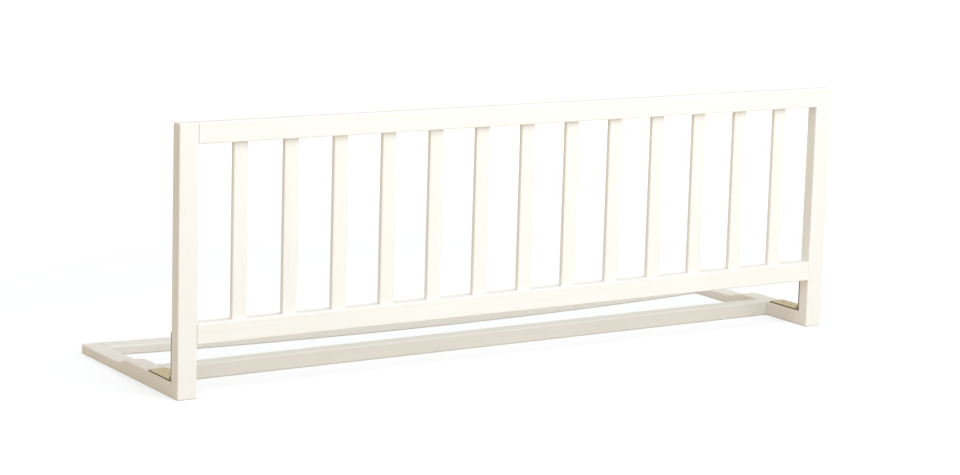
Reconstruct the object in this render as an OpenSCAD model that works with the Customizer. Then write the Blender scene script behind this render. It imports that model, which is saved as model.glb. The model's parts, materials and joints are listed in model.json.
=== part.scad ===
// Bed guard rail: a slatted wooden panel hinged to a flat base frame.
// The base slides under a mattress and the panel stands up beside it.
// The panel folds down over the base for storage, on two hinges that share one axis.
//
// X runs along the bed, +Y goes in under the mattress and +Z is up.
// The origin is the middle of the bounding box, on the surface the guard stands on.

/* [Overall size] */
// Length of the guard along the bed
guard_length = 1200; // [900:1:1500]
// Height of the guard above the surface it stands on
guard_height = 405; // [330:1:600]
// Distance from the front of the posts to the rear end of the base
base_reach = 340; // [290:1:480]

/* [Guard panel] */
// Width of each post, seen from the front
post_width = 31; // [26:0.5:50]
// Depth of the posts and of the two rails, front to back
panel_depth = 22; // [20:0.5:32]
// Height of the top rail and of the bottom rail
rail_height = 31.5; // [24:0.5:50]
// Clear height under the bottom rail
under_rail_gap = 80; // [65:1:140]
// Radius on the long edges of the posts and rails
panel_edge_radius = 2; // [1:0.5:6]

/* [Slats] */
// Number of upright slats
slat_count = 13; // [8:1:16]
// Width of a slat, seen from the front
slat_width = 24; // [18:0.5:34]
// Thickness of a slat, front to back
slat_thickness = 9; // [7:0.5:12]
// Radius on the long edges of a slat
slat_edge_radius = 2.5; // [1:0.5:2.5]
// How deep a slat sits in each rail
mortise_depth = 12; // [8:1:16]
// Room around a slat in its mortise
mortise_clearance = 0.1; // [0.05:0.05:0.3]
// Room above a slat in the top rail
mortise_end_gap = 1; // [0.5:0.5:3]

/* [Base frame] */
// Height of the front part of each arm
arm_height = 24; // [20:0.5:34]
// Height of the thin rear part of each arm, and of the rear crossbar
arm_tail_height = 15; // [12:0.5:18]
// Distance from the front of the posts to where the arm starts to step down
step_start = 164; // [150:1:200]
// Length of the curved step down
step_length = 56; // [40:1:90]
// Distance from the front of the posts to the front crossbar
front_crossbar_offset = 107; // [60:1:115]
// Width of the front crossbar, front to back
front_crossbar_width = 26; // [24:0.5:40]
// Width of the rear crossbar, front to back
rear_crossbar_width = 34; // [26:0.5:45]
// How far the middle of the rear crossbar bows towards the front
rear_crossbar_bow = 36; // [6:1:50]
// Radius on the edges of the arms and crossbars
base_edge_radius = 2.5; // [1:0.5:4]

/* [Dowels] */
// Radius of a dowel
dowel_radius = 3; // [2:0.5:4]
// Length of a dowel
dowel_length = 24; // [18:1:28]
// Distance between the two dowels of a joint
dowel_spacing = 14; // [11:0.5:16]
// Radial room around a dowel in its hole
dowel_clearance = 0.05; // [0.02:0.01:0.2]
// Room at each end of a dowel
dowel_end_gap = 1; // [0.5:0.5:2]

/* [Hinges] */
// Wood left bare beside a hinge, on each side
hinge_margin = 0.5; // [0.5:0.5:3]
// Length of the leaf on an arm, from the pin's axis to its rounded end
arm_leaf_length = 75; // [60:1:80]
// Length of the leaf on a post, from the pin's axis to its rounded end
post_leaf_length = 70.5; // [60:0.5:80]
// Thickness of a leaf
leaf_thickness = 2; // [1.5:0.1:2.2]
// Radius of the rounded corners of a leaf
leaf_corner_radius = 3; // [1:0.5:6]
// Outer radius of the knuckles
knuckle_radius = 3.5; // [3.2:0.1:4]
// Side play between neighbouring knuckles
knuckle_gap = 0.3; // [0.2:0.05:0.6]
// Room between a knuckle and the wood that passes it
knuckle_set_off = 0.3; // [0.2:0.05:0.6]
// Radius of the hinge pin
pin_radius = 2; // [1.6:0.1:2.2]
// Radial room between the pin and the knuckles
pin_clearance = 0.06; // [0.03:0.01:0.1]

/* [Hinge screws] */
// Distance from the pin's axis to the first screw
first_screw_place = 15; // [12:1:20]
// Distance from the last screw to the end of the leaf
last_screw_margin = 21; // [10:1:24]
// Number of screws in a leaf
screw_count = 3; // [2:1:3]
// Radius of a screw's shank
screw_radius = 1.5; // [1.2:0.1:2]
// Length of a screw, head included
screw_length = 16; // [12:0.5:18]
// Radius of a screw's countersunk head
screw_head_radius = 3; // [2.6:0.1:3.6]
// Room around a screw's head and shank in the leaf
screw_clearance = 0.15; // [0.05:0.05:0.3]
// Radial room around the shank in the wood
pilot_clearance = 0.05; // [0.02:0.01:0.1]

/* [Hidden] */
$fn = 48;
large_arc_facets = 360;    // for the shallow arcs of the step in an arm
bow_arc_facets = 1800;     // for the very large circle that the rear crossbar follows
bow_edge_facets = 12;      // its eased edges are three flats to a corner
end_chamfer = 2.4;         // on the cut ends of the posts
pin_chamfer = 0.4;         // on the ends of the hinge pins
recess_width = 0.9;        // cross recess in a screw head
recess_length = 3.4;
recess_depth = 1;
screw_tip_length = 3;
overrun = 1;               // how far a cut runs past the face it opens

front_y = -base_reach / 2;
rear_y = base_reach / 2;
half_length = guard_length / 2;
inner_x = half_length - post_width;
rail_length = 2 * inner_x;
post_rear_y = front_y + panel_depth;

bottom_rail_z = under_rail_gap;
top_rail_z = guard_height - rail_height;
slat_bottom_z = bottom_rail_z + rail_height - mortise_depth;
slat_top_z = top_rail_z + mortise_depth - mortise_end_gap;
slat_pitch = (rail_length + slat_width) / (slat_count + 1);
slat_y = front_y + (panel_depth - slat_thickness) / 2;

arm_length = rear_y - post_rear_y;
step_y = step_start - panel_depth;
step_drop = arm_height - arm_tail_height;
step_arc_radius = (pow(step_length, 2) + pow(step_drop, 2)) / (4 * step_drop);
front_crossbar_y = front_y + front_crossbar_offset;

bow_radius = pow(inner_x, 2) / (2 * rear_crossbar_bow) + rear_crossbar_bow / 2;
bow_centre_y = rear_y + sqrt(pow(bow_radius, 2) - pow(inner_x, 2));
bow_angle = 2 * asin(half_length / bow_radius);

pin_set_back = knuckle_radius + knuckle_set_off;
pin_y = post_rear_y + pin_set_back;
pin_z = arm_height + pin_set_back;
hinge_x = half_length - post_width / 2;
hinge_width = post_width - 2 * hinge_margin;
knuckle_width = hinge_width / 3;
notch_reach = knuckle_radius + 2 * knuckle_set_off;
leaf_face_z = leaf_thickness - pin_set_back;
countersink_depth = screw_head_radius - screw_radius;

upper_dowel_z = top_rail_z + rail_height / 2;
lower_dowel_z = bottom_rail_z + rail_height / 2;
front_dowel_y = front_crossbar_y + front_crossbar_width / 2;
rear_dowel_y = rear_y - rear_crossbar_width / 2;

paint = "ivory";
bare_wood = "burlywood";
plated_steel = "goldenrod";

function slat_name(i) = str("slat_", i < 10 ? "0" : "", i);

// ---- shared shapes ----

// A rectangle with round corners, from the origin.
module eased_outline(width, height, radius) {
    translate([radius, 0]) square([width - 2 * radius, height]);
    translate([0, radius]) square([width, height - 2 * radius]);
    for (x = [radius, width - radius], y = [radius, height - radius])
        translate([x, y]) circle(radius);
}

// A rectangle with its corners cut off at 45 degrees, from the origin.
module chamfered_outline(width, height, cut) {
    polygon([
        [cut, 0], [width - cut, 0], [width, cut], [width, height - cut],
        [width - cut, height], [cut, height], [0, height - cut], [0, cut]
    ]);
}

// Extrudes an outline drawn in Y and Z along +X.
module along_x(length) {
    rotate([90, 0, 90]) linear_extrude(length) children();
}

// Extrudes an outline drawn in X and Z along +Y.
module along_y(length) {
    translate([0, length, 0]) rotate([90, 0, 0]) linear_extrude(length) children();
}

// Copies a left-hand shape to the right-hand end.
module right_hand() {
    mirror([1, 0, 0]) children();
}

// Two cylinders along X, centred on the joint plane at x, one above the other or side by side.
module joint_pegs(x, y, z, radius, length, upright) {
    step = dowel_spacing / 2;
    for (side = [-step, step])
        translate([x - length / 2, y + (upright ? 0 : side), z + (upright ? side : 0)])
            rotate([0, 90, 0])
                cylinder(h = length, r = radius);
}

module joint_dowels(y, z, upright) {
    for (x = [-inner_x, inner_x])
        joint_pegs(x, y, z, dowel_radius, dowel_length, upright);
}

module joint_holes(y, z, upright) {
    for (x = [-inner_x, inner_x])
        joint_pegs(x, y, z, dowel_radius + dowel_clearance, dowel_length + 2 * dowel_end_gap, upright);
}

// ---- hinge shapes, drawn about the pin's axis with the leaf lying along +Y ----

// Puts the left hinge's shapes on the pin axis, with the leaf on the arm.
module at_left_arm() {
    translate([-hinge_x, pin_y, pin_z]) children();
}

// Puts the left hinge's shapes on the pin axis, with the leaf standing on the post.
module at_left_post() {
    translate([-hinge_x, pin_y, pin_z]) mirror([0, 1, -1]) children();
}

module at_each_screw(length) {
    pitch = (length - first_screw_place - last_screw_margin) / (screw_count - 1);
    for (i = [0 : screw_count - 1])
        translate([0, first_screw_place + i * pitch, leaf_face_z]) children();
}

module leaf_plate(length) {
    translate([-hinge_width / 2, 0, -pin_set_back])
        linear_extrude(leaf_thickness) {
            square([hinge_width, length - leaf_corner_radius]);
            translate([0, length / 2])
                eased_outline(hinge_width, length / 2, leaf_corner_radius);
        }
}

module knuckle(start, end) {
    translate([start, 0, 0]) rotate([0, 90, 0]) cylinder(h = end - start, r = knuckle_radius);
}

module pin_bore() {
    translate([-hinge_width / 2 - overrun, 0, 0])
        rotate([0, 90, 0])
            cylinder(h = hinge_width + 2 * overrun, r = pin_radius + pin_clearance);
}

// Clears the plate away where the other leaf's knuckle turns.
module knuckle_notch(start, end) {
    translate([start, -overrun, -pin_set_back - overrun])
        cube([end - start, notch_reach + overrun, pin_set_back + overrun]);
}

module countersunk_holes(length) {
    at_each_screw(length) {
        translate([0, 0, -leaf_thickness - overrun])
            cylinder(h = leaf_thickness + 2 * overrun, r = screw_radius + screw_clearance);
        translate([0, 0, -countersink_depth])
            cylinder(
                h = countersink_depth + screw_clearance,
                r1 = screw_radius + screw_clearance,
                r2 = screw_head_radius + 2 * screw_clearance
            );
    }
}

// The arm's leaf carries the two outer knuckles.
module outer_leaf() {
    edge = knuckle_width / 2 + knuckle_gap / 2;
    difference() {
        union() {
            leaf_plate(arm_leaf_length);
            knuckle(-hinge_width / 2, -edge);
            knuckle(edge, hinge_width / 2);
        }
        pin_bore();
        knuckle_notch(-edge, edge);
        countersunk_holes(arm_leaf_length);
    }
}

// The post's leaf carries the middle knuckle.
module middle_leaf() {
    edge = knuckle_width / 2 - knuckle_gap / 2;
    end = hinge_width / 2 + overrun;
    difference() {
        union() {
            leaf_plate(post_leaf_length);
            knuckle(-edge, edge);
        }
        pin_bore();
        knuckle_notch(-end, -edge);
        knuckle_notch(edge, end);
        countersunk_holes(post_leaf_length);
    }
}

module hinge_pin() {
    translate([-hinge_width / 2, 0, 0]) rotate([0, 90, 0]) {
        cylinder(h = pin_chamfer, r1 = pin_radius - pin_chamfer, r2 = pin_radius);
        translate([0, 0, pin_chamfer]) cylinder(h = hinge_width - 2 * pin_chamfer, r = pin_radius);
        translate([0, 0, hinge_width - pin_chamfer])
            cylinder(h = pin_chamfer, r1 = pin_radius, r2 = pin_radius - pin_chamfer);
    }
}

module screw() {
    shank_length = screw_length - screw_tip_length;
    difference() {
        union() {
            translate([0, 0, -countersink_depth])
                cylinder(h = countersink_depth, r1 = screw_radius, r2 = screw_head_radius);
            translate([0, 0, -shank_length])
                cylinder(h = shank_length - countersink_depth / 2, r = screw_radius);
            translate([0, 0, -screw_length])
                cylinder(h = screw_tip_length, r1 = screw_radius / 3, r2 = screw_radius);
        }
        for (turn = [0, 90])
            rotate([0, 0, turn])
                translate([-recess_length / 2, -recess_width / 2, -recess_depth])
                    cube([recess_length, recess_width, recess_depth + overrun]);
    }
}

module leaf_screws(length) {
    at_each_screw(length) screw();
}

module pilot_holes(length) {
    at_each_screw(length)
        translate([0, 0, -screw_length - dowel_end_gap])
            cylinder(h = screw_length + dowel_end_gap, r = screw_radius + pilot_clearance);
}

// ---- guard panel ----

module left_post() {
    color(paint)
        difference() {
            translate([-half_length, front_y, 0])
                intersection() {
                    linear_extrude(guard_height)
                        eased_outline(post_width, panel_depth, panel_edge_radius);
                    along_x(post_width) chamfered_outline(panel_depth, guard_height, end_chamfer);
                    along_y(panel_depth) chamfered_outline(post_width, guard_height, end_chamfer);
                }
            joint_holes(front_y + panel_depth / 2, upper_dowel_z, true);
            joint_holes(front_y + panel_depth / 2, lower_dowel_z, true);
            at_left_post() pilot_holes(post_leaf_length);
        }
}

module right_post() {
    right_hand() left_post();
}

module mortise(i) {
    grow = mortise_clearance;
    translate([slat_x(i) - grow, slat_y - grow, 0])
        linear_extrude(mortise_depth + overrun)
            eased_outline(
                slat_width + 2 * grow,
                slat_thickness + 2 * grow,
                slat_edge_radius + grow
            );
}

module rail(z) {
    translate([-inner_x, front_y, z])
        along_x(rail_length) eased_outline(panel_depth, rail_height, panel_edge_radius);
}

module top_rail() {
    color(paint)
        difference() {
            rail(top_rail_z);
            for (i = [1 : slat_count])
                translate([0, 0, top_rail_z - overrun]) mortise(i);
            joint_holes(front_y + panel_depth / 2, upper_dowel_z, true);
        }
}

module bottom_rail() {
    color(paint)
        difference() {
            rail(bottom_rail_z);
            for (i = [1 : slat_count])
                translate([0, 0, slat_bottom_z]) mortise(i);
            joint_holes(front_y + panel_depth / 2, lower_dowel_z, true);
        }
}

function slat_x(i) = i * slat_pitch - inner_x - slat_width;

module slat(i) {
    color(paint)
        translate([slat_x(i), slat_y, slat_bottom_z])
            linear_extrude(slat_top_z - slat_bottom_z)
                eased_outline(slat_width, slat_thickness, slat_edge_radius);
}

module top_rail_dowels() {
    color(bare_wood) joint_dowels(front_y + panel_depth / 2, upper_dowel_z, true);
}

module bottom_rail_dowels() {
    color(bare_wood) joint_dowels(front_y + panel_depth / 2, lower_dowel_z, true);
}

// ---- base frame ----

// Side view of an arm: Y from its front end, and Z. Two equal arcs make the step.
module arm_side_view() {
    half_step = step_length / 2;
    half_drop = step_drop / 2;
    middle_y = step_y + half_step;
    tail_y = step_y + step_length;
    square([step_y, arm_height]);
    intersection() {
        translate([step_y, 0]) square([half_step, arm_height]);
        translate([step_y, arm_height - step_arc_radius])
            circle(step_arc_radius, $fn = large_arc_facets);
    }
    difference() {
        translate([middle_y, 0]) square([half_step, arm_tail_height + half_drop]);
        translate([tail_y, arm_tail_height + step_arc_radius])
            circle(step_arc_radius, $fn = large_arc_facets);
    }
    translate([tail_y, 0]) square([arm_length - tail_y, arm_tail_height]);
}

module left_arm() {
    color(paint)
        difference() {
            translate([-half_length, post_rear_y, 0])
                intersection() {
                    along_x(post_width) arm_side_view();
                    union() {
                        along_y(step_y + step_length)
                            eased_outline(post_width, arm_height, base_edge_radius);
                        along_y(arm_length)
                            eased_outline(post_width, arm_tail_height, base_edge_radius);
                    }
                    linear_extrude(arm_height)
                        eased_outline(post_width, arm_length, base_edge_radius);
                }
            joint_holes(front_dowel_y, arm_height / 2, false);
            joint_holes(rear_dowel_y, arm_tail_height / 2, false);
            at_left_arm() pilot_holes(arm_leaf_length);
        }
}

module right_arm() {
    right_hand() left_arm();
}

module front_crossbar() {
    color(paint)
        difference() {
            translate([-inner_x, front_crossbar_y, 0])
                along_x(rail_length)
                    eased_outline(front_crossbar_width, arm_height, base_edge_radius);
            joint_holes(front_dowel_y, arm_height / 2, false);
        }
}

// A thin bar that follows a very large arc, with its middle nearer the front.
module rear_crossbar() {
    color(paint)
        difference() {
            intersection() {
                translate([0, bow_centre_y, 0])
                    rotate([0, 0, 270 - bow_angle / 2])
                        rotate_extrude(angle = bow_angle, $fn = bow_arc_facets)
                            translate([bow_radius, 0])
                                eased_outline(
                                    rear_crossbar_width,
                                    arm_tail_height,
                                    base_edge_radius,
                                    $fn = bow_edge_facets
                                );
                translate([-inner_x, front_y, -overrun])
                    cube([rail_length, base_reach + overrun, arm_tail_height + 2 * overrun]);
            }
            joint_holes(rear_dowel_y, arm_tail_height / 2, false);
        }
}

module front_crossbar_dowels() {
    color(bare_wood) joint_dowels(front_dowel_y, arm_height / 2, false);
}

module rear_crossbar_dowels() {
    color(bare_wood) joint_dowels(rear_dowel_y, arm_tail_height / 2, false);
}

// ---- hinges ----

module left_arm_leaf() {
    color(plated_steel) at_left_arm() outer_leaf();
}

module right_arm_leaf() {
    right_hand() left_arm_leaf();
}

module left_post_leaf() {
    color(plated_steel) at_left_post() middle_leaf();
}

module right_post_leaf() {
    right_hand() left_post_leaf();
}

module left_hinge_pin() {
    color(plated_steel) at_left_arm() hinge_pin();
}

module right_hinge_pin() {
    right_hand() left_hinge_pin();
}

module left_arm_screws() {
    color(plated_steel) at_left_arm() leaf_screws(arm_leaf_length);
}

module right_arm_screws() {
    right_hand() left_arm_screws();
}

module left_post_screws() {
    color(plated_steel) at_left_post() leaf_screws(post_leaf_length);
}

module right_post_screws() {
    right_hand() left_post_screws();
}

left_post();
right_post();
top_rail();
bottom_rail();
for (i = [1 : slat_count])
    slat(i);
left_arm();
right_arm();
front_crossbar();
rear_crossbar();
top_rail_dowels();
bottom_rail_dowels();
front_crossbar_dowels();
rear_crossbar_dowels();
left_arm_leaf();
right_arm_leaf();
left_post_leaf();
right_post_leaf();
left_hinge_pin();
right_hinge_pin();
left_arm_screws();
right_arm_screws();
left_post_screws();
right_post_screws();
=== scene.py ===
"""A lacquered wooden bed guard rail: a slatted panel hinged to a base frame that lies flat."""
import json
import math

import bmesh
import bpy
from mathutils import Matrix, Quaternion, Vector

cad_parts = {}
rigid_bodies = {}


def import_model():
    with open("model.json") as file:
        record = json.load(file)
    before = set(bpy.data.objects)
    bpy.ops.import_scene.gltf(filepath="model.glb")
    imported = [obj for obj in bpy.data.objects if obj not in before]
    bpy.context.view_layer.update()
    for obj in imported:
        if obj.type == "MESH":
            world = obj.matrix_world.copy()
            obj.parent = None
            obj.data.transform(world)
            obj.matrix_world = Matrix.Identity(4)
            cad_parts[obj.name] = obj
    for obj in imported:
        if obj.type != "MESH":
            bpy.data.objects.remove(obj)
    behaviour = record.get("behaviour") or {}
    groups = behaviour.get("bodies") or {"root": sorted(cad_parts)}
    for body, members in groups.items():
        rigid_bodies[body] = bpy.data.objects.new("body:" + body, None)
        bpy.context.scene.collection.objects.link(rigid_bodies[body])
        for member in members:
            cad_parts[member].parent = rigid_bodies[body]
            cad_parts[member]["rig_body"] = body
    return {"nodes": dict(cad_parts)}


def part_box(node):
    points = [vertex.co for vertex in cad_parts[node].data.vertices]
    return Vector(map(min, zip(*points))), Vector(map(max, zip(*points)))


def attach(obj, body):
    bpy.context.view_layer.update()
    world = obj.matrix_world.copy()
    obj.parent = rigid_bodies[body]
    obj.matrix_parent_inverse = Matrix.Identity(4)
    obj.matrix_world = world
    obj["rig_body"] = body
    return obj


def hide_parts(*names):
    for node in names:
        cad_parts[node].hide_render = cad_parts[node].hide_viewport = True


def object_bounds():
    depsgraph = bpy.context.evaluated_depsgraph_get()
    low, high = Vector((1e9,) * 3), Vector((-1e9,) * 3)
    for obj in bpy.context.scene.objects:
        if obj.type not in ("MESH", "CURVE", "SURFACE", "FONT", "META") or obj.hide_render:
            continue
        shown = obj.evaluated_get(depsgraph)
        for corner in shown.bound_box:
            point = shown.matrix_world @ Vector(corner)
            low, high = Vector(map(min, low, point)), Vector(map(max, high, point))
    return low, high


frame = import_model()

cad_low, cad_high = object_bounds()

MM = 0.001

# Radius on the long edges of the wooden pieces
PANEL_EDGE = 2.0 * MM
SLAT_EDGE = 2.5 * MM
BASE_EDGE = 2.5 * MM

# How far their cut ends are eased
POST_END_EASE = 2.4 * MM
END_EASE = 1.2 * MM
HIDDEN_END_EASE = 0.4 * MM

# Step in the arms, measured from the front of the posts
STEP_START = 164 * MM
STEP_LENGTH = 56 * MM

# Bow of the rear crossbar
REAR_BAR_BOW = 36 * MM

# Studio floor, and how much it glows by distance from the middle
FLOOR_RADIUS = 14.0
FLOOR_GLOW_NEAR = 0.55
FLOOR_GLOW_FAR = 1.0
FLOOR_GLOW_START = 0.9
FLOOR_GLOW_END = 2.6
FLOOR_GLOW_COLOUR = (0.97, 0.985, 1.0, 1)
FLOOR_WARM = ((0.68, 0.61, 0.525, 1), (0.70, 0.63, 0.545, 1))
FLOOR_PLAIN = ((0.495, 0.495, 0.495, 1), (0.505, 0.505, 0.505, 1))

# Light from the surroundings
WORLD_AROUND = (0.86, 0.645, 0.49, 1)
WORLD_ABOVE = (0.60, 0.63, 0.62, 1)

# Soft boxes: place, size, power in watts and colour
KEY_LIGHT = ((0.50, -2.75, 1.9), (2.6, 1.9), 53, (0.72, 0.827, 0.945))
FILL_LIGHT = ((0.1, -1.35, 2.5), (2.6, 1.0), 29, (0.77, 0.94, 1.0))

# Mesh density
CORNER_STEPS = 6
EASE_STEPS = 4
STEP_STATIONS = 28
BOW_STATIONS = 64

SLAT_NODES = sorted(n for n in frame["nodes"] if n.startswith("slat_"))


# ---------------------------------------------------------------- meshes

def rounded_outline(width, height, radius, steps=CORNER_STEPS):
    """Points of a rectangle with round corners, centred on the origin, anticlockwise."""
    points = []
    corners = ((1, 1, 0), (-1, 1, 90), (-1, -1, 180), (1, -1, 270))
    for side_u, side_v, start in corners:
        centre_u = side_u * (width / 2 - radius)
        centre_v = side_v * (height / 2 - radius)
        for i in range(steps + 1):
            angle = math.radians(start + 90 * i / steps)
            points.append((centre_u + radius * math.cos(angle), centre_v + radius * math.sin(angle)))
    return points


def end_stations(ease, steps=EASE_STEPS):
    """Pairs of distance from a cut end and how far the outline shrinks there, along a quarter circle."""
    pairs = []
    for i in range(steps + 1):
        angle = math.radians(90 * i / steps)
        pairs.append((ease * (1 - math.cos(angle)), ease * (1 - math.sin(angle))))
    return pairs


def both_ends(length, ease_start, ease_end):
    """Stations for a straight piece whose two cut ends are eased."""
    start = [(t, shrink) for t, shrink in end_stations(ease_start)]
    end = [(length - t, shrink) for t, shrink in reversed(end_stations(ease_end))]
    return start + end


def loft(name, rings, material):
    """A closed mesh through a list of rings with the same number of points, with a flat cap at each end."""
    work = bmesh.new()
    loops = [[work.verts.new(point) for point in ring] for ring in rings]
    count = len(loops[0])
    for first, second in zip(loops, loops[1:]):
        for i in range(count):
            j = (i + 1) % count
            work.faces.new((first[i], first[j], second[j], second[i]))
    work.faces.new(list(reversed(loops[0])))
    work.faces.new(loops[-1])
    bmesh.ops.recalc_face_normals(work, faces=work.faces)
    for face in work.faces:
        face.smooth = True
    mesh = bpy.data.meshes.new(name)
    work.to_mesh(mesh)
    work.free()
    mesh.materials.append(material)
    piece = bpy.data.objects.new(name, mesh)
    bpy.context.scene.collection.objects.link(piece)
    weighted = piece.modifiers.new("weighted_normals", "WEIGHTED_NORMAL")
    weighted.weight = 100
    weighted.keep_sharp = True
    return piece


def section(axis, place, middle, width, height, radius, shrink):
    """One ring across an axis. width and height run along the two other axes, in X, Y, Z order."""
    across = [i for i in range(3) if i != axis]
    ring = []
    small = max(radius - shrink, 0.15 * MM)
    for u, v in rounded_outline(width - 2 * shrink, height - 2 * shrink, small):
        point = [0.0, 0.0, 0.0]
        point[axis] = place
        point[across[0]] = middle[0] + u
        point[across[1]] = middle[1] + v
        ring.append(Vector(point))
    return ring


def bar(name, node, axis, radius, ease, material, stations=None):
    """A straight wooden bar in the box of a CAD node, with its long edges round and its cut ends eased."""
    low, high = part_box(node)
    across = [i for i in range(3) if i != axis]
    middle = [(low[i] + high[i]) / 2 for i in across]
    width, height = [high[i] - low[i] for i in across]
    stations = stations or both_ends(high[axis] - low[axis], ease, ease)
    rings = [
        section(axis, low[axis] + along, middle, width, height, radius, shrink)
        for along, shrink in stations
    ]
    return loft(name, rings, material)


def stand_for(piece, node):
    """The piece takes the place of a CAD node, on the same body."""
    body = frame["nodes"][node]["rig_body"]
    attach(piece, body)
    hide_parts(node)
    return piece


# ---------------------------------------------------------------- materials

class Graph:
    """A short way to write a material's nodes."""

    def __init__(self, name):
        self.material = bpy.data.materials.new(name)
        self.material.use_nodes = True
        self.tree = self.material.node_tree
        self.shader = self.tree.nodes["Principled BSDF"]

    def node(self, kind, inputs=None, **settings):
        made = self.tree.nodes.new(kind)
        for key, value in settings.items():
            setattr(made, key, value)
        for key, value in (inputs or {}).items():
            if isinstance(value, bpy.types.NodeSocket):
                self.tree.links.new(value, made.inputs[key])
            else:
                made.inputs[key].default_value = value
        return made

    def place(self, scale):
        """The point on the piece, in metres, stretched by scale."""
        where = self.node("ShaderNodeTexCoord")
        return self.node(
            "ShaderNodeMapping", {"Vector": where.outputs["Object"], "Scale": scale}
        ).outputs["Vector"]

    def noise(self, vector, scale, detail=3.0, roughness=0.5, distortion=0.0):
        return self.node("ShaderNodeTexNoise", {
            "Vector": vector, "Scale": scale, "Detail": detail,
            "Roughness": roughness, "Distortion": distortion,
        }).outputs["Fac"]

    def ramp(self, value, stops):
        made = self.node("ShaderNodeValToRGB", {"Fac": value})
        elements = made.color_ramp.elements
        while len(elements) < len(stops):
            elements.new(0.5)
        for element, (position, colour) in zip(elements, stops):
            element.position = position
            element.color = colour
        return made.outputs["Color"]

    def span(self, value, low, high, from_low=0.0, from_high=1.0):
        """value rescaled to run from low to high."""
        return self.node("ShaderNodeMapRange", {
            "Value": value, "From Min": from_low, "From Max": from_high,
            "To Min": low, "To Max": high,
        }).outputs["Result"]

    def math(self, operation, first, second):
        return self.node("ShaderNodeMath", {0: first, 1: second}, operation=operation).outputs[0]

    def mix(self, share, first, second, blend="MIX"):
        made = self.node("ShaderNodeMix", data_type="RGBA", blend_type=blend)
        for key, value in ((0, share), (6, first), (7, second)):
            if isinstance(value, bpy.types.NodeSocket):
                self.tree.links.new(value, made.inputs[key])
            else:
                made.inputs[key].default_value = value
        return made.outputs[2]

    def bump(self, height, strength, distance, under=None):
        inputs = {"Height": height, "Strength": strength, "Distance": distance}
        if under is not None:
            inputs["Normal"] = under
        return self.node("ShaderNodeBump", inputs).outputs["Normal"]

    def feed(self, **inputs):
        """Links or sets the shader's own inputs; an underscore stands for a space."""
        for key, value in inputs.items():
            socket = self.shader.inputs[key.replace("_", " ")]
            if isinstance(value, bpy.types.NodeSocket):
                self.tree.links.new(value, socket)
            else:
                socket.default_value = value


def grey(level):
    return (level, level, level, 1.0)


def stretched(axis, along, across):
    """A mapping scale that draws a pattern out along one axis."""
    return tuple(along if i == axis else across for i in range(3))


def lacquered_wood(name, axis):
    """Satin ivory lacquer, through which the grain shows faintly along the axis."""
    g = Graph(name)
    cloudy = g.noise(g.place((1, 1, 1)), 9.0, detail=2.0)
    grain = g.noise(g.place(stretched(axis, 5.0, 190.0)), 1.0, detail=5.0, roughness=0.62, distortion=0.35)
    pores = g.noise(g.place(stretched(axis, 45.0, 1500.0)), 1.0, detail=2.0, roughness=0.5)
    peel = g.noise(g.place((1, 1, 1)), 520.0, detail=1.0)

    base = g.ramp(cloudy, [(0.30, (0.866, 0.852, 0.812, 1)), (0.72, (0.880, 0.870, 0.838, 1))])
    streaks = g.ramp(grain, [(0.36, (0.965, 0.955, 0.930, 1)), (0.58, (1, 1, 1, 1))])
    colour = g.mix(0.4, base, streaks, "MULTIPLY")
    flecks = g.ramp(pores, [(0.24, (0.93, 0.91, 0.87, 1)), (0.33, (1, 1, 1, 1))])
    colour = g.mix(0.5, colour, flecks, "MULTIPLY")

    sheen_spots = g.noise(g.place((1, 1, 1)), 38.0, detail=3.0)
    roughness = g.span(sheen_spots, 0.30, 0.42, 0.3, 0.7)

    normal = g.bump(grain, 0.22, 0.00035)
    normal = g.bump(pores, 0.10, 0.0002, normal)
    normal = g.bump(peel, 0.05, 0.0001, normal)
    g.feed(
        Base_Color=colour, Roughness=roughness, Normal=normal,
        Specular_IOR_Level=0.45, Coat_Weight=0.18, Coat_Roughness=0.22,
    )
    return g.material


def bare_beech(name):
    """Pale beech with short dark flecks along X, for the dowels."""
    g = Graph(name)
    grain = g.noise(g.place(stretched(0, 30.0, 700.0)), 1.0, detail=5.0, roughness=0.6)
    fleck = g.noise(g.place(stretched(0, 160.0, 2600.0)), 1.0, detail=1.0)
    colour = g.ramp(grain, [(0.30, (0.50, 0.31, 0.16, 1)), (0.68, (0.70, 0.49, 0.29, 1))])
    colour = g.mix(0.5, colour, g.ramp(fleck, [(0.30, grey(0.72)), (0.42, grey(1.0))]), "MULTIPLY")
    g.feed(
        Base_Color=colour, Roughness=g.span(grain, 0.55, 0.72),
        Normal=g.bump(grain, 0.3, 0.0004),
    )
    return g.material


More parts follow.
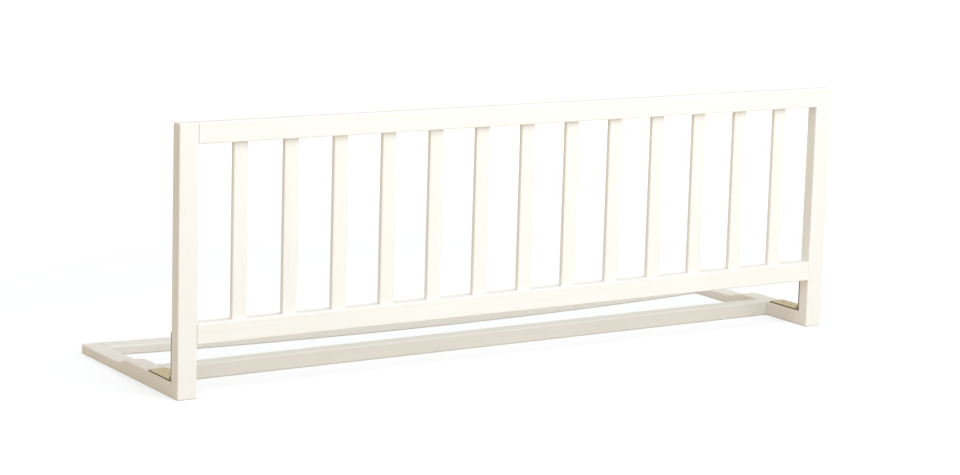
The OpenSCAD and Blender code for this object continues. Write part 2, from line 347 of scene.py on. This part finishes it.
def plated_metal(name, light, dark, brushed_axis, roughness_low, roughness_high, flat_axis=None):
    """Zinc plate passivated yellow: a faint mottle over fine brushing.

    On a leaf, flat_axis is the axis across the sheet: surfaces that face any other way are sheared edges
    and rolled knuckles, coloured dark: partly their own darker metal, partly painted shade of the gap beside
    the leaf.
    """
    g = Graph(name)
    mottle = g.noise(g.place((1, 1, 1)), 230.0, detail=5.0, roughness=0.6, distortion=0.4)
    brushing = g.noise(g.place(stretched(brushed_axis, 60.0, 3200.0)), 1.0, detail=3.0)
    between = tuple(0.5 * (a + b) for a, b in zip(light, dark))
    colour = g.ramp(mottle, [(0.34, dark), (0.50, light), (0.72, between)])
    lines = g.ramp(brushing, [(0.30, grey(0.86)), (0.66, grey(1.0))])
    colour = g.mix(0.6, colour, lines, "MULTIPLY")
    roughness = g.span(brushing, roughness_low, roughness_high, 0.3, 0.7)
    if flat_axis is not None:
        facing = g.node("ShaderNodeSeparateXYZ", {
            "Vector": g.node("ShaderNodeTexCoord").outputs["Normal"],
        }).outputs[flat_axis]
        edge = g.span(g.math("ABSOLUTE", facing, 0.0), 1.0, 0.0, EDGE_FACING_LOW, EDGE_FACING_HIGH)
        # dark edge colour: partly the edges' own darker metal, partly painted shade of the gap between leaf
        # and post
        colour = g.mix(edge, colour, SHEARED_EDGE_AND_PAINTED_SHADE)
        roughness = g.math("MAXIMUM", roughness, g.math("MULTIPLY", edge, SHEARED_ROUGHNESS))
    g.feed(
        Base_Color=colour, Metallic=1.0, Roughness=roughness,
        Normal=g.bump(brushing, 0.16, 0.00012),
    )
    return g.material


def studio_floor(name):
    """Pale paper sweep. To the camera it is neutral and glows more with distance, so that it fades to
    white; what it reflects onto the object is warmer."""
    g = Graph(name)
    cloud = g.noise(g.place((1, 1, 1)), 1.3, detail=3.0)
    warm = g.ramp(cloud, list(zip((0.3, 0.7), FLOOR_WARM)))
    plain = g.ramp(cloud, list(zip((0.3, 0.7), FLOOR_PLAIN)))
    reach = g.node("ShaderNodeVectorMath", {0: g.place((1, 1, 1))}, operation="LENGTH").outputs["Value"]
    glow = g.span(reach, FLOOR_GLOW_NEAR, FLOOR_GLOW_FAR, FLOOR_GLOW_START, FLOOR_GLOW_END)
    seen = g.node("ShaderNodeLightPath").outputs["Is Camera Ray"]
    g.feed(
        Base_Color=g.mix(seen, warm, plain), Roughness=0.85, Specular_IOR_Level=0.1,
        Emission_Color=FLOOR_GLOW_COLOUR, Emission_Strength=g.math("MULTIPLY", glow, seen),
    )
    return g.material


LACQUER = [lacquered_wood("lacquer_grain_" + axis, i) for i, axis in enumerate("xyz")]
BEECH = bare_beech("bare_beech")
YELLOW_LIGHT = (0.78, 0.77, 0.58, 1)
YELLOW_DARK = (0.64, 0.61, 0.40, 1)
# Colour of the leaves' edges and knuckles: partly their own darker metal, partly painted shade of the gap
# beside the leaf
SHEARED_EDGE_AND_PAINTED_SHADE = (0.20, 0.155, 0.07, 1)
SHEARED_ROUGHNESS = 0.55
EDGE_FACING_LOW = 0.55     # how squarely a surface faces out of the sheet, where it starts to be an edge
EDGE_FACING_HIGH = 0.90    # and where it is all flat sheet
ARM_LEAF_METAL = plated_metal("plated_leaf_y", YELLOW_LIGHT, YELLOW_DARK, 1, 0.30, 0.46, flat_axis=2)
POST_LEAF_METAL = plated_metal("plated_leaf_z", YELLOW_LIGHT, YELLOW_DARK, 2, 0.30, 0.46, flat_axis=1)
SCREW_METAL = plated_metal("plated_screw", (0.74, 0.68, 0.46, 1), (0.54, 0.48, 0.30, 1), 0, 0.24, 0.38)
PIN_METAL = plated_metal("drawn_pin", (0.62, 0.57, 0.45, 1), (0.45, 0.40, 0.30, 1), 0, 0.22, 0.34)


# ---------------------------------------------------------------- guard panel

def make_posts():
    for node in ("left_post", "right_post"):
        piece = bar(node + "_wood", node, 2, PANEL_EDGE, POST_END_EASE, LACQUER[2])
        stand_for(piece, node)


def make_rails():
    for node in ("top_rail", "bottom_rail"):
        piece = bar(node + "_wood", node, 0, PANEL_EDGE, HIDDEN_END_EASE, LACQUER[0])
        stand_for(piece, node)


def make_slats():
    for node in SLAT_NODES:
        piece = bar(node + "_wood", node, 2, SLAT_EDGE, HIDDEN_END_EASE, LACQUER[2])
        stand_for(piece, node)


# ---------------------------------------------------------------- base frame

def step_height(along, thick, thin):
    """Height of an arm's top, by distance from the front of the posts: two equal arcs join thick to thin."""
    drop = thick - thin
    radius = (STEP_LENGTH ** 2 + drop ** 2) / (4 * drop)
    into = along - STEP_START
    if into <= 0:
        return thick
    if into >= STEP_LENGTH:
        return thin
    if into <= STEP_LENGTH / 2:
        return thick - radius + math.sqrt(radius ** 2 - into ** 2)
    return thin + radius - math.sqrt(radius ** 2 - (STEP_LENGTH - into) ** 2)


def make_arms():
    front = cad_low.y
    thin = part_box("rear_crossbar")[1].z
    for node in ("left_arm", "right_arm"):
        low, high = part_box(node)
        ends = both_ends(high.y - low.y, BASE_EDGE, END_EASE)
        half = len(ends) // 2
        step = [
            (front + STEP_START + STEP_LENGTH * i / STEP_STATIONS - low.y, 0.0)
            for i in range(STEP_STATIONS + 1)
        ]
        rings = []
        for along, shrink in ends[:half] + step + ends[half:]:
            place = low.y + along
            top = step_height(place - front, high.z, thin)
            middle = ((low.x + high.x) / 2, top / 2)
            rings.append(section(1, place, middle, high.x - low.x, top, BASE_EDGE, shrink))
        stand_for(loft(node + "_wood", rings, LACQUER[1]), node)


def make_crossbars():
    node = "front_crossbar"
    piece = bar(node + "_wood", node, 0, BASE_EDGE, HIDDEN_END_EASE, LACQUER[0])
    stand_for(piece, node)

    node = "rear_crossbar"
    low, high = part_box(node)
    half = (high.x - low.x) / 2
    # the bar's two long faces are arcs about one centre behind it
    width = high.y - low.y - REAR_BAR_BOW
    radius = half ** 2 / (2 * REAR_BAR_BOW) + REAR_BAR_BOW / 2
    centre = high.y + math.sqrt(radius ** 2 - half ** 2)
    rings = []
    ends = both_ends(2 * half, HIDDEN_END_EASE, HIDDEN_END_EASE)
    middle_part = [(2 * half * i / BOW_STATIONS, 0.0) for i in range(1, BOW_STATIONS)]
    count = len(ends) // 2
    for along, shrink in ends[:count] + middle_part + ends[count:]:
        x = low.x + along
        rear = centre - math.sqrt(radius ** 2 - x ** 2)
        fore = centre - math.sqrt((radius + width) ** 2 - x ** 2)
        middle = ((rear + fore) / 2, (low.z + high.z) / 2)
        rings.append(section(0, x, middle, rear - fore, high.z - low.z, BASE_EDGE, shrink))
    stand_for(loft(node + "_wood", rings, LACQUER[0]), node)


# ---------------------------------------------------------------- hardware kept from the CAD

def dress(node, material, edge):
    """A CAD node keeps its shape, with its sharp edges broken and a new material."""
    piece = frame["nodes"][node]
    piece.data.materials.clear()
    piece.data.materials.append(material)
    weld = piece.modifiers.new("weld", "WELD")
    weld.merge_threshold = 0.002 * MM
    flat = piece.modifiers.new("flat_faces", "DECIMATE")
    flat.decimate_type = "DISSOLVE"
    flat.angle_limit = math.radians(0.5)
    bevel = piece.modifiers.new("broken_edges", "BEVEL")
    bevel.width = edge
    bevel.segments = 2
    bevel.limit_method = "ANGLE"
    bevel.angle_limit = math.radians(40)
    bevel.harden_normals = True


def dress_hardware():
    for side in ("left", "right"):
        dress(side + "_arm_leaf", ARM_LEAF_METAL, 0.25 * MM)
        dress(side + "_post_leaf", POST_LEAF_METAL, 0.25 * MM)
        dress(side + "_hinge_pin", PIN_METAL, 0.1 * MM)
        dress(side + "_arm_screws", SCREW_METAL, 0.08 * MM)
        dress(side + "_post_screws", SCREW_METAL, 0.08 * MM)
    for place in ("top_rail", "bottom_rail", "front_crossbar", "rear_crossbar"):
        dress(place + "_dowels", BEECH, 0.4 * MM)


# ---------------------------------------------------------------- studio

CAMERA_PLACE = (-2.1878, -3.4433, 0.9144)
CAMERA_AZIMUTH = 32.640    # degrees from +Y towards +X
CAMERA_DIP = 9.258         # degrees below the horizon
CAMERA_ROLL = 1.610
CAMERA_LENS = 96.378
CAMERA_SENSOR = 36.0
CAMERA_RISE = -0.0521      # lens shift, as a share of the picture's width


def make_camera():
    data = bpy.data.cameras.new("camera")
    data.sensor_fit = "HORIZONTAL"
    data.sensor_width = CAMERA_SENSOR
    data.lens = CAMERA_LENS
    data.shift_y = CAMERA_RISE
    data.clip_start = 0.05
    data.clip_end = 60
    camera = bpy.data.objects.new("camera", data)
    azimuth, dip = math.radians(CAMERA_AZIMUTH), math.radians(CAMERA_DIP)
    ahead = Vector((
        math.sin(azimuth) * math.cos(dip),
        math.cos(azimuth) * math.cos(dip),
        -math.sin(dip),
    ))
    roll = Quaternion((0, 0, 1), math.radians(CAMERA_ROLL))
    camera.rotation_mode = "QUATERNION"
    camera.rotation_quaternion = ahead.to_track_quat("-Z", "Y") @ roll
    camera.location = CAMERA_PLACE
    bpy.context.scene.collection.objects.link(camera)
    bpy.context.scene.camera = camera


def make_floor():
    work = bmesh.new()
    bmesh.ops.create_circle(work, cap_ends=True, segments=96, radius=FLOOR_RADIUS)
    mesh = bpy.data.meshes.new("floor")
    work.to_mesh(mesh)
    work.free()
    mesh.materials.append(studio_floor("studio_floor"))
    floor = bpy.data.objects.new("floor", mesh)
    floor.location.z = cad_low.z - 0.05 * MM
    bpy.context.scene.collection.objects.link(floor)


def area_light(name, target, place, size, power, colour):
    data = bpy.data.lights.new(name, "AREA")
    data.shape = "RECTANGLE"
    data.size, data.size_y = size
    data.energy = power
    data.color = colour
    light = bpy.data.objects.new(name, data)
    light.location = place
    light.rotation_mode = "QUATERNION"
    light.rotation_quaternion = (Vector(target) - Vector(place)).to_track_quat("-Z", "Y")
    bpy.context.scene.collection.objects.link(light)


def make_light():
    middle = (cad_low + cad_high) / 2
    area_light("key", middle, *KEY_LIGHT)
    area_light("fill", middle, *FILL_LIGHT)
    make_world()
    bpy.context.scene.view_settings.view_transform = "Standard"


def make_world():
    """Warm light from around, less from above; the camera sees it plain white."""
    world = bpy.data.worlds.new("studio")
    world.use_nodes = True
    bpy.context.scene.world = world
    tree = world.node_tree
    place = tree.nodes.new("ShaderNodeTexCoord")
    split = tree.nodes.new("ShaderNodeSeparateXYZ")
    fade = tree.nodes.new("ShaderNodeValToRGB")
    fade.color_ramp.elements[0].position = 0.0
    fade.color_ramp.elements[0].color = WORLD_AROUND
    fade.color_ramp.elements[1].position = 0.9
    fade.color_ramp.elements[1].color = WORLD_ABOVE
    tree.links.new(place.outputs["Generated"], split.inputs["Vector"])
    tree.links.new(split.outputs["Z"], fade.inputs["Fac"])
    glow = tree.nodes["Background"]
    tree.links.new(fade.outputs["Color"], glow.inputs["Color"])
    glow.inputs["Strength"].default_value = 1.0
    seen = tree.nodes.new("ShaderNodeBackground")
    seen.inputs["Color"].default_value = (1, 1, 1, 1)
    choose = tree.nodes.new("ShaderNodeMixShader")
    path = tree.nodes.new("ShaderNodeLightPath")
    tree.links.new(path.outputs["Is Camera Ray"], choose.inputs["Fac"])
    tree.links.new(glow.outputs["Background"], choose.inputs[1])
    tree.links.new(seen.outputs["Background"], choose.inputs[2])
    tree.links.new(choose.outputs["Shader"], tree.nodes["World Output"].inputs["Surface"])


make_camera()
make_posts()
make_rails()
make_slats()
make_arms()
make_crossbars()
dress_hardware()
make_floor()
make_light()
